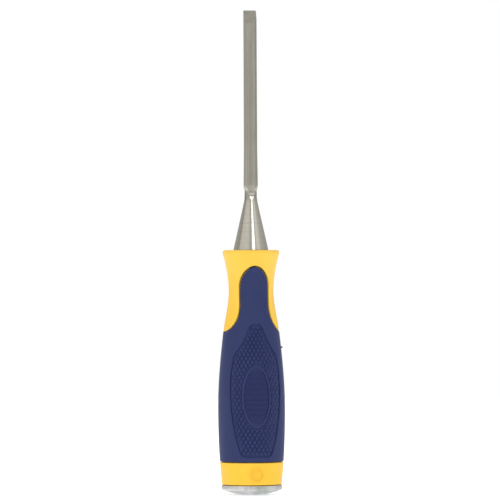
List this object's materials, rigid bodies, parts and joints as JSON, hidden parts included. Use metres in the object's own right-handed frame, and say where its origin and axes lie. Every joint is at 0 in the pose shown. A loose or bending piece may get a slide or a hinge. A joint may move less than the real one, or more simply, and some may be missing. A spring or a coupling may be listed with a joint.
{
  "type": "bench chisel",
  "caption": "Narrow bevel-edge bench chisel with a forged blade and bolster, a two-colour moulded handle with a textured soft grip, and a domed steel strike cap.",
  "frame": {"origin": "centre of the struck face of the strike cap, the lowest point of the chisel as it stands with its edge up", "axes": "+Z along the tool from the strike cap to the cutting edge, -Y out of the blade's bevelled front face, +Y out of its flat back, +X to the right seen from the front"},
  "size_m": [0.0334, 0.0334, 0.242],
  "materials": {
    "forged_steel": "satin, ground along the blade",
    "yellow_plastic": "satin moulded",
    "blue_elastomer": "matte moulded, textured panel",
    "plated_steel": "dull plated"
  },
  "bodies": {
    "root": {"blade": "forged_steel", "handle_core": "yellow_plastic", "soft_grip": "blue_elastomer", "strike_cap": "plated_steel"}
  },
  "joints": []
}
